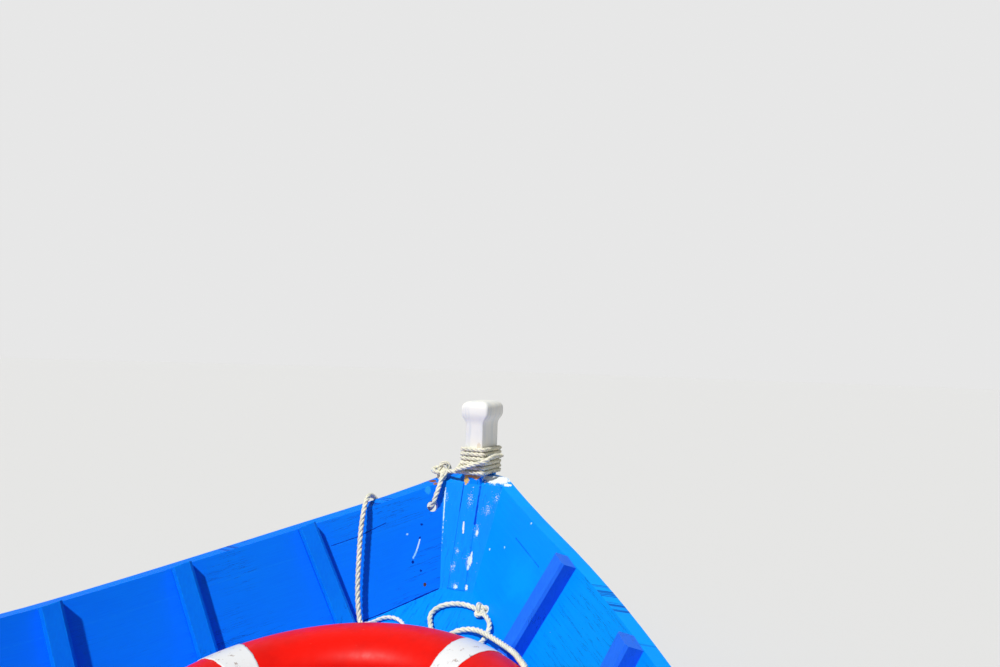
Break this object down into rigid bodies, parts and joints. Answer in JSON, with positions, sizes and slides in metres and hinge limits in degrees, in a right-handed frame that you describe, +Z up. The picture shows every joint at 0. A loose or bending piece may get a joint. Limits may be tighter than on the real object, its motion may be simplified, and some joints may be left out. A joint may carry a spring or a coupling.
{
  "type": "open wooden flat-bottomed boat",
  "caption": "Open flat-bottomed wooden boat with flared plank sides, rockered bottom, tall stem post, transom, ribs, thwarts, hung rudder, lifebuoy and mooring line.",
  "frame": {"origin": "on the centreline, at the middle of the length, on the plane of the flat of the bottom", "axes": "+X to starboard, +Y to the bow, +Z up"},
  "size_m": [1.8965, 5.9387, 0.64],
  "materials": {
    "blue_paint": "gloss paint, brushed, worn at the edges",
    "blue_frame_paint": "gloss paint, brushed",
    "white_paint": "gloss paint, chipped",
    "bare_wood": "oiled",
    "galvanized": "galvanised",
    "lifebuoy_shell": "satin",
    "rope": "laid rope, weathered"
  },
  "bodies": {
    "hull": {"bottom_planking": "blue_paint", "bow_knot": "rope", "floor_timber_02": "blue_frame_paint", "floor_timber_03": "blue_frame_paint", "floor_timber_04": "blue_frame_paint", "floor_timber_05": "blue_frame_paint", "floor_timber_06": "blue_frame_paint", "floor_timber_07": "blue_frame_paint", "floor_timber_08": "blue_frame_paint", "floor_timber_09": "blue_frame_paint", "floor_timber_10": "blue_frame_paint", "grab_line": "rope", "gudgeon_lower": "galvanized", "gudgeon_upper": "galvanized", "lifebuoy": "lifebuoy_shell", "painter": "rope", "rib_01_port": "blue_frame_paint", "rib_01_starboard": "blue_frame_paint", "rib_02_port": "blue_frame_paint", "rib_02_starboard": "blue_frame_paint", "rib_03_port": "blue_frame_paint", "rib_03_starboard": "blue_frame_paint", "rib_04_port": "blue_frame_paint", "rib_04_starboard": "blue_frame_paint", "rib_05_port": "blue_frame_paint", "rib_05_starboard": "blue_frame_paint", "rib_06_port": "blue_frame_paint", "rib_06_starboard": "blue_frame_paint", "rib_07_port": "blue_frame_paint", "rib_07_starboard": "blue_frame_paint", "rib_08_port": "blue_frame_paint", "rib_08_starboard": "blue_frame_paint", "rib_09_port": "blue_frame_paint", "rib_09_starboard": "blue_frame_paint", "rib_10_port": "blue_frame_paint", "rib_10_starboard": "blue_frame_paint", "riser_port": "blue_frame_paint", "riser_starboard": "blue_frame_paint", "rowlock_block_port": "bare_wood", "rowlock_block_starboard": "bare_wood", "stem_cheek_port": "blue_frame_paint", "stem_cheek_starboard": "blue_frame_paint", "stem_post": "white_paint", "strake_lower_port": "blue_paint", "strake_lower_starboard": "blue_paint", "strake_upper_port": "blue_paint", "strake_upper_starboard": "blue_paint", "strop_lead": "rope", "strop_turns": "rope", "thwart_after": "bare_wood", "thwart_fore": "bare_wood", "thwart_middle": "bare_wood", "thwart_stern": "bare_wood", "transom": "blue_paint", "transom_knee_port": "blue_paint", "transom_knee_starboard": "blue_paint"},
    "steering": {"pintle_lower": "galvanized", "pintle_upper": "galvanized", "rudder": "white_paint", "tiller": "bare_wood"}
  },
  "joints": [
    {"name": "rudder_swing", "type": "hinge", "parent": "hull", "child": "steering", "pos_m": [0, -2.70665, 0.22561], "axis": [0, -0.2588, 0.9659], "range_deg": [-35, 35]}
  ]
}
